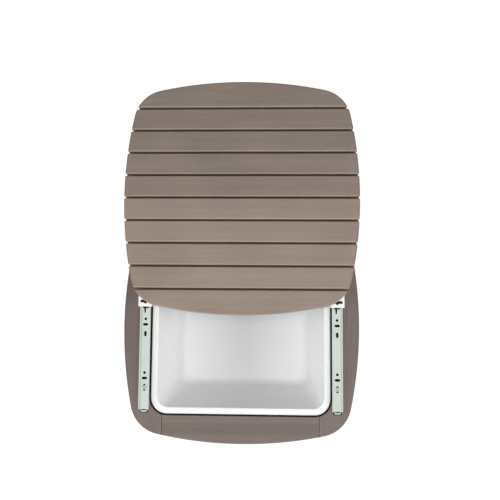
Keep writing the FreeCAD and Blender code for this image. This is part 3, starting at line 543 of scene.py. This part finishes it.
def frontShadeRamp(y):
    # painted light on the side boards, away from the sliding top's shade: share s of the way from the
    # first line to the second, smoothed to s x s x (3 - 2 s)
    first, last = rimLook["frontShadeRamp"]
    share = np.clip((y - first) / (last - first), 0, 1)
    return rimLook["frontPaintedLight"] * share * share * (3 - 2 * share)


def makeEndBoards():
    # front and back board: the ring, cut off at both seams
    look = rimLook
    half = look["seam"] - look["seamGap"] / 2
    for side, sign in (("front", -1), ("back", 1)):

        def field(x, y, sign=sign):
            # the ring crossed with the strip between both seams, on this side of the middle
            return meet(rimField(x, y), np.maximum(np.abs(x) - half, -sign * y), look["seamRound"])

        spine = levelSpine(half - look["spineEnd"], sign * look["spineLine"], look["spinePoints"])
        shape = board(field, spine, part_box("rim_board_" + side), look["rounds"], look["points"])
        tones = boardToneAndShading(shape, look, 0.0, gap=openingField)
        addPiece("rim_" + side, shape, finishes["rimAcross"], "base", ["rim_board_" + side],
                 tones)


def makeSideBoards():
    # left and right board: the rest of the ring, with its hollows painted near black as shade, and
    # painted lighter towards the front, darker towards the sliding top as its shade
    look = rimLook
    start = look["seam"] + look["seamGap"] / 2
    for side, sign in zip(sides, (-1, 1)):

        def field(x, y, sign=sign):
            # the ring crossed with all that lies beyond the seam
            return meet(rimField(x, y), start - sign * x, look["seamRound"])

        middle = 0 if sign > 0 else math.pi
        spine = lineInside(look["sideInset"], middle - look["sideBearing"], middle + look["sideBearing"],
                           look["sidePoints"])
        shape = board(field, spine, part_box("rim_board_" + side), look["rounds"], look["points"])
        tones = boardToneAndShading(shape, look, look["sideTones"][side], gap=openingField)
        tones += np.where(tones > boardLook["gapShade"], frontShadeRamp(shape[0][:, 1]), 0)
        slide = sign * look["hollowMiddle"]
        boxes = [(slide - wide, front, slide + wide, back) for wide, front, back in look["hollows"]]
        shape = sinkHollows(shape, look, boxes)
        lips = shape[0][len(tones):len(tones) + 4 * len(boxes)]
        lipTones = look["sideTones"][side] + frontShadeRamp(lips[:, 1])
        # walls and floors of the hollows are painted near black, as shade
        hollowShades = np.full(8 * len(boxes), boardLook["hollowShade"])
        addPiece("rim_" + side, shape, finishes["rimAlong"], "base", ["rim_board_" + side],
                 np.concatenate([tones, lipTones, hollowShades]))


makeEndBoards()
makeSideBoards()
print("rim boards made")

# Cladding round the base
claddingLook = {
    "inset": 0.008,
    "thick": 0.012,
    "gap": 0.003,
    "perSide": 6,
    "round": 0.0018,
    "points": 72,
    "spinePoints": 60,
    "spineEnd": 0.007,
    "toneSpread": 0.05,
    "toneSteps": (2.3, 1.7),   # change of the tone's wave from plank to plank and from side to side
    "cornerPoints": 130,
    "cornerSpinePoints": 160,
    "cornerSpineEnd": 0.011,
}


def claddingField(x, y):
    # distance to a band of one thickness that follows the outline
    look = claddingLook
    return np.abs(outlineField(x, y) + look["inset"] + look["thick"] / 2) - look["thick"] / 2


def makePlanks():
    # planks of each side: the band, cut at even steps between the two seams
    look = claddingLook
    pitch = 2 * rimLook["seam"] / look["perSide"]
    middle = look["inset"] + look["thick"] / 2
    for side, quarter in (("right", 0), ("back", 1), ("left", 2), ("front", 3)):
        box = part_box("planks_" + side)
        turn = quarter * math.pi / 2
        parts, tones = [], []
        for index in range(look["perSide"]):
            first = -rimLook["seam"] + index * pitch + look["gap"] / 2
            last = first + pitch - look["gap"]

            def field(x, y, quarter=quarter, first=first, last=last):
                # the band crossed with a strip of the coordinate that runs along this side
                across = (y, -x, -y, x)[quarter]
                return meet(claddingField(x, y), np.maximum(first - across, across - last), look["round"])

            ends = (first + look["spineEnd"], last - look["spineEnd"])
            bearings = [turn + math.atan2(end, outline["half"] - middle) for end in ends]
            spine = lineInside(middle, *bearings, look["spinePoints"])
            part = board(field, spine, box, (look["round"], look["round"]), look["points"])
            wave = math.sin(look["toneSteps"][0] * index + look["toneSteps"][1] * quarter)
            parts.append(part)
            tones.append(np.full(len(part[0]), look["toneSpread"] * wave))
        addPiece("cladding_" + side, joinParts(parts), finishes["cladding"], "base", ["planks_" + side],
                 np.concatenate(tones))


def makeCladdingCorners():
    # corner pieces: the band beyond both seams
    look = claddingLook
    start = rimLook["seam"] + look["gap"] / 2
    middle = look["inset"] + look["thick"] / 2
    for name, (signX, signY) in quarters.items():

        def field(x, y, signX=signX, signY=signY):
            # the band crossed with the quarter beyond both seams
            within = np.maximum(start - signX * x, start - signY * y)
            return meet(claddingField(x, y), within, look["round"])

        bearing = math.atan2(signY, signX)
        reach = math.atan2(outline["half"] - middle, start + look["cornerSpineEnd"]) - math.pi / 4
        spine = lineInside(middle, bearing - reach, bearing + reach, look["cornerSpinePoints"])
        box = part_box("corner_cladding_" + name)
        shape = board(field, spine, box, (look["round"], look["round"]), look["cornerPoints"])
        addPiece("cladding_" + name, shape, finishes["cladding"], "base", ["corner_cladding_" + name])


makePlanks()
makeCladdingCorners()
print("cladding made")

# Ice bucket
bucketLook = {
    "outerHalf": 0.1705,
    "outerCorner": 0.031,
    "mouthHalf": 0.158,
    "mouthCorner": 0.021,
    "mouthAngle": 176,       # the mouth's round edge starts at this angle, in degrees
    "draft": math.tan(math.radians(6.5)),
    "wall": 0.003,
    "wallRings": (0.25, 0.5, 0.75, 0.97),
    "depth": 0.190,
    "floorRound": 0.016,
    "floorRing": (0.09, 0.0168),   # half width and corner of the innermost ring of the floor
    "rimRound": 0.0025,
    "skirt": 0.017,          # how far the rim's outer edge hangs down
    "skirtShade": -0.9,       # painted shade towards the foot of the skirt, deep in the gap round it
    "fold": 0.0005,          # bevel of the skirt's foot and of the corners under the rim
    "groove": 0.0006,        # shallow channel along the top of the rim
    "grooveMargin": 0.0012,
    "grooveCorners": (0.025, 0.026, 0.025, 0.027),   # of its four lines, from the mouth out
    "cornerSteps": 16,
    "sideSteps": 24,
}


def squareRing(half, corner):
    # a square with round corners as a ring: points along each side, then round its corner
    sideSteps, cornerSteps = bucketLook["sideSteps"], bucketLook["cornerSteps"]
    along = np.linspace(-1, 1, sideSteps, endpoint=False)
    turn = np.linspace(0, math.pi / 2, cornerSteps, endpoint=False)
    flat = half - corner
    x = np.concatenate([np.full(sideSteps, half), flat + corner * np.cos(turn)])
    y = np.concatenate([flat * along, flat + corner * np.sin(turn)])
    return np.concatenate([np.stack(turned, 1) for turned in ((x, y), (-y, x), (-x, -y), (y, -x))])


def bend(center, radius, first, last, steps=7):
    # points round a bend of a profile, from one angle to another in degrees
    angle = np.radians(np.linspace(first, last, steps))
    return [(center[0] + radius * math.cos(a), center[1] + radius * math.sin(a)) for a in angle]


def wallBend(half, level, radius, slope):
    # the bend between a leaning wall and a flat floor, from the floor up: its centre lies a radius
    # over the floor and r / cos(lean) - r slope inside the point where both would meet
    lean = math.atan(slope)
    center = (half - radius * (1 / math.cos(lean) - slope), level + radius)
    return bend(center, radius, -90, -math.degrees(lean), 9)


def tubInside(top):
    # the inside from the middle of its floor up: the wall leans in by its draft, half - depth x slope
    look = bucketLook
    slope, corner, floor = look["draft"], look["mouthCorner"], top - look["depth"]
    turned = wallBend(look["mouthHalf"] - look["depth"] * slope, floor, look["floorRound"], slope)
    rings = [(*look["floorRing"], floor)] + [(x, corner, z) for x, z in turned]
    start = turned[-1][1]
    for share in look["wallRings"]:
        level = start + share * (top - look["rimRound"] - start)
        rings.append((look["mouthHalf"] - (top - level) * slope, corner, level))
    return rings


def rimOver(top):
    # over the rim from the mouth to the outer edge: a round edge, the channel and a round edge
    look = bucketLook
    rounding, margin = look["rimRound"], look["grooveMargin"]
    lip, edge = look["mouthHalf"] + rounding, look["outerHalf"] - rounding
    rings = [(x, look["mouthCorner"] + (x - look["mouthHalf"]), z)
             for x, z in bend((lip, top - rounding), rounding, look["mouthAngle"], 90)]
    lines = (lip + margin, lip + 2 * margin, edge - 2 * margin, edge - margin)
    levels = (top, top - look["groove"], top - look["groove"], top)
    rings += zip(lines, look["grooveCorners"], levels)
    return rings + [(x, look["outerCorner"] - (look["outerHalf"] - x), z)
                    for x, z in bend((edge, top - rounding), rounding, 90, 0)]


def rimUnder(top):
    # down the skirt, round its foot, up behind it and in under the rim as far as the tub's outside
    look = bucketLook
    wall, fold, slope = look["wall"], look["fold"], look["draft"]
    outer, outerCorner = look["outerHalf"], look["outerCorner"]
    inner, innerCorner = look["mouthHalf"] + wall, look["mouthCorner"] + wall
    foot, under = top - look["skirt"], top - wall
    return [
        (outer, outerCorner, foot + fold),
        (outer - fold, outerCorner, foot),
        (outer - wall + fold, outerCorner - wall, foot),
        (outer - wall, outerCorner - wall, foot + fold),
        (outer - wall, outerCorner - wall, under - fold),
        (outer - wall - fold, outerCorner - wall, under),
        (inner - wall * slope + fold, innerCorner, under),
        (inner - (wall + fold) * slope, innerCorner, under - fold),
    ]


def tubOutside(top, floor):
    # the outside from below the rim down to the middle of its floor, one wall outside the inside
    look = bucketLook
    slope, wall = look["draft"], look["wall"]
    half = look["mouthHalf"] - look["depth"] * slope + wall - wall * slope
    turned = wallBend(half, floor, look["floorRound"] + wall, slope)
    rings = [(x, look["mouthCorner"] + wall, z) for x, z in reversed(turned)]
    return rings + [(*look["floorRing"], floor)]


def makeBucket():
    # one closed skin of square rings, each with its half width, corner radius and height
    look = bucketLook
    low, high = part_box("ice_bucket")
    above = tubInside(high.z) + rimOver(high.z)
    profile = above + rimUnder(high.z) + tubOutside(high.z, low.z)
    rings = []
    for half, corner, level in profile:
        flat = squareRing(half, corner)
        rings.append(np.column_stack([flat, np.full(len(flat), level)]))
    columns = len(rings[0])
    faces = [face[::-1] for face in ringFaces(len(rings), columns)]
    tones = np.zeros((len(rings), columns))
    # painted shade down the skirt, near black at its foot
    tones[len(above):len(above) + 2] = look["skirtShade"]
    addPiece("bucket", (np.concatenate(rings), faces), finishes["bucketWhite"], "base", ["ice_bucket"],
             tones.ravel())


makeBucket()
print("bucket made")

# Screws
screwLook = {
    "headRadius": 0.0039,
    "headHeight": 0.0016,
    "domeReach": 0.88,       # the dome reaches this share of the head's radius
    "domeDrop": 0.28,        # and falls by this share of its height times radius to the power
    "domePower": 2.4,
    "domeMiddle": 0.0001,    # radius of its innermost ring
    "edge": ((0.96, 0.66), (1.0, 0.48), (1.0, 0.06), (0.98, 0.0)),   # shares of radius and height
    "shankRadius": 0.0018,
    "tip": 0.0015,
    "tipShare": 0.4,
    "recessWidth": 0.0007,
    "recessReach": 0.0024,
    "recessDepth": 0.0009,
    "recessSlopes": (0.0003, 0.0006),   # of the sides and the ends of the cross
    "railDetail": (18, 48),  # rings of the dome and points on each ring
    "slatDetail": (12, 24),
    "slatLines": 3,          # lines of screws under the slats
}


def panScrew(x, y, z, length, way, detail):
    # rings about the screw's axis: a dome of height h (1 - drop r^power), its edge and the shank, and
    # a cross pressed in where the smaller of |x|, |y| is within its width and the larger within its reach
    look = screwLook
    rows, columns = detail
    head, height, shank = look["headRadius"], look["headHeight"], look["shankRadius"]
    dome = np.linspace(look["domeMiddle"], look["domeReach"] * head, rows)
    domeLevel = height * (1 - look["domeDrop"] * (dome / head) ** look["domePower"])
    edge, edgeLevel = np.array(look["edge"]).T
    radius = np.concatenate([dome, edge * head, [shank, shank, shank * look["tipShare"]]])
    level = np.concatenate([domeLevel, edgeLevel * height, [0.0, look["tip"] - length, -length]])
    angle = np.linspace(0, 2 * math.pi, columns, endpoint=False)
    across, along = radius[:, None] * np.cos(angle), radius[:, None] * np.sin(angle)
    narrow = np.minimum(np.abs(across), np.abs(along))
    wide = np.maximum(np.abs(across), np.abs(along))
    sideSlope, endSlope = look["recessSlopes"]
    pressed = np.clip((look["recessWidth"] - narrow) / sideSlope + 0.5, 0, 1)
    pressed *= np.clip((look["recessReach"] - wide) / endSlope + 0.5, 0, 1)
    pressed[rows:] = 0
    lifted = level[:, None] - look["recessDepth"] * pressed
    points = np.stack([x + across, y + way * along, z + way * lifted], -1).reshape(-1, 3)
    faces = [face[::-1] for face in ringFaces(len(radius), columns)]
    return points, faces


def makeScrews():
    # the screws stand at even steps between the outermost heads: four in the inner rails with
    # their heads up, and lines of them under the slats with their heads down
    look = screwLook
    head, height = look["headRadius"], look["headHeight"]
    low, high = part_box("inner_rail_screws")
    seat = high.z - height
    shapes = [panScrew(x, y, seat, seat - low.z, 1, look["railDetail"])
              for x in (low.x + head, high.x - head) for y in (low.y + head, high.y - head)]
    addPiece("rail_screws", joinParts(shapes), finishes["screwZinc"], "base", ["inner_rail_screws"])
    low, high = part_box("slat_screws")
    seat = low.z + height
    lines = np.linspace(low.x + head, high.x - head, look["slatLines"])
    places = np.linspace(low.y + head, high.y - head, slatLook["count"])
    shapes = [panScrew(x, y, seat, high.z - seat, -1, look["slatDetail"]) for x in lines for y in places]
    addPiece("board_screws", joinParts(shapes), finishes["screwZinc"], "top", ["slat_screws"])


makeScrews()
print("screws made")

# Parts that keep their solid
def onEach(kinds, places):
    # the name of every kind of part at every place
    return [kind + "_" + place for kind in kinds for place in places]


keptFinishes = {
    "railZinc": onEach(["inner_rail", "outer_rail"], sides),
    "middleZinc": onEach(["middle_rail", "inner_cage", "outer_cage"], sides),
    "ballSteel": onEach(["inner_balls", "outer_balls"], sides),
    "screwZinc": ["outer_rail_screws", "rim_screws"],
    "frameCoat": onEach(["post"], quarters) + ["top_panel", "upper_frame", "lower_frame"],
    "mouldedBlack": onEach(["foot"], quarters) + onEach(["bumper"], sides),
}


def finishKept():
    # each of these nodes gets its finish in place of its plain material
    for finish, names in keptFinishes.items():
        for name in names:
            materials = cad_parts[name].data.materials
            materials.clear()
            materials.append(finishes[finish])


finishKept()
print("kept solids finished")

# Floor, light and camera
studio = {
    "worldDiffuse": 0.135,
    "worldGlossy": 1.05,
    "floorRadius": 9,
    "floorPoints": 96,
    "floorColor": (0.85, 0.85, 0.85, 1),
    "floorRoughness": 0.9,
    "floorSpecular": 0.1,
    "floorShare": 0.86,      # of the glow in the floor, where it is seen
    "floorGlow": 1.12,
    "footprint": (0.19, 0.275),   # the glow starts between these distances from the centre
    # place, aim, width and power of each lamp
    "lamps": {
        "over": ((0.05, -0.08, 1.75), (0.05, 0, 0.4), 0.5, 7.3),
        "left": ((-1.4, -0.2, 1.25), (0, 0, 0.4), 0.8, 14.7),
        "right": ((1.4, -0.2, 1.25), (0, 0, 0.4), 0.8, 14.7),
    },
}


def floorMaterial():
    # pale and matt, with a glow where the floor is seen, also in gloss, but not under the table
    material, tree, shader = startMaterial("floorWhite")
    shader.inputs["Base Color"].default_value = studio["floorColor"]
    shader.inputs["Roughness"].default_value = studio["floorRoughness"]
    shader.inputs["Specular IOR Level"].default_value = studio["floorSpecular"]
    glow = addNode(tree, "Emission", Color=(1, 1, 1, 1), Strength=studio["floorGlow"])
    path = addNode(tree, "LightPath").outputs
    seen = calculate(tree, "MAXIMUM", path["Is Camera Ray"], path["Is Glossy Ray"])
    place = addNode(tree, "TexCoord").outputs["Object"]
    away = addNode(tree, "VectorMath", {"operation": "LENGTH"}, at0=place).outputs["Value"]
    start, end = studio["footprint"]
    clear = addNode(tree, "MapRange", {"interpolation_type": "SMOOTHSTEP"}, Value=away, From_Min=start,
                    From_Max=end, To_Max=studio["floorShare"]).outputs["Result"]
    share = calculate(tree, "MULTIPLY", seen, clear)
    mixed = addNode(tree, "MixShader", Fac=share, at1=shader.outputs[0], at2=glow.outputs[0])
    output = next(node for node in tree.nodes if node.type == "OUTPUT_MATERIAL")
    tree.links.new(mixed.outputs[0], output.inputs["Surface"])
    return material


def makeFloor():
    # a flat disc, (r cos a, r sin a, 0)
    radius, count = studio["floorRadius"], studio["floorPoints"]
    turn = np.linspace(0, 2 * math.pi, count, endpoint=False)
    points = np.stack([radius * np.cos(turn), radius * np.sin(turn), np.zeros(count)], 1)
    mesh = bpy.data.meshes.new("floor")
    mesh.from_pydata(points.tolist(), [], [list(range(count))])
    mesh.materials.append(floorMaterial())
    floor = bpy.data.objects.new("floor", mesh)
    bpy.context.scene.collection.objects.link(floor)


def makeWorld():
    # a white world of strength plain + (1 - plain) x camera + (shiny - plain) x glossy
    world = bpy.data.worlds.new("studio")
    bpy.context.scene.world = world
    world.use_nodes = True
    tree = world.node_tree
    sky = tree.nodes["Background"]
    sky.inputs["Color"].default_value = (1, 1, 1, 1)
    path = addNode(tree, "LightPath").outputs
    plain, shiny = studio["worldDiffuse"], studio["worldGlossy"]
    direct = calculate(tree, "MULTIPLY", path["Is Camera Ray"], 1 - plain)
    glossy = calculate(tree, "MULTIPLY", path["Is Glossy Ray"], shiny - plain)
    strength = calculate(tree, "ADD", calculate(tree, "ADD", direct, glossy), plain)
    tree.links.new(strength, sky.inputs["Strength"])


def makeLamps():
    # square lamps, each tilted and then turned so that it looks at its aim, none seen in gloss
    for name, (place, aim, width, power) in studio["lamps"].items():
        lamp = bpy.data.lights.new(name, "AREA")
        lamp.size = width
        lamp.energy = power
        holder = bpy.data.objects.new(name, lamp)
        bpy.context.scene.collection.objects.link(holder)
        way = np.array(aim) - np.array(place)
        length = np.linalg.norm(way)
        holder.visible_glossy = False
        holder.location = place
        holder.rotation_euler = (math.acos(-way[2] / length), 0, math.atan2(way[1], way[0]) - math.pi / 2)


camera = {
    "place": (0.05998, 0.03427, 1.5936),
    "turn": (0.091624, 0.036517, 0.00773),
    "lens": 43.884,
    "sensor": 36.0,
}


def makeCamera():
    # the photograph's own place, turn and angle of view
    data = bpy.data.cameras.new("camera")
    data.lens = camera["lens"]
    data.sensor_width = camera["sensor"]
    holder = bpy.data.objects.new("camera", data)
    bpy.context.scene.collection.objects.link(holder)
    holder.location = camera["place"]
    holder.rotation_euler = camera["turn"]
    bpy.context.scene.camera = holder


makeFloor()
makeWorld()
makeLamps()
makeCamera()
bpy.context.scene.view_settings.view_transform = "Standard"
print("studio ready")
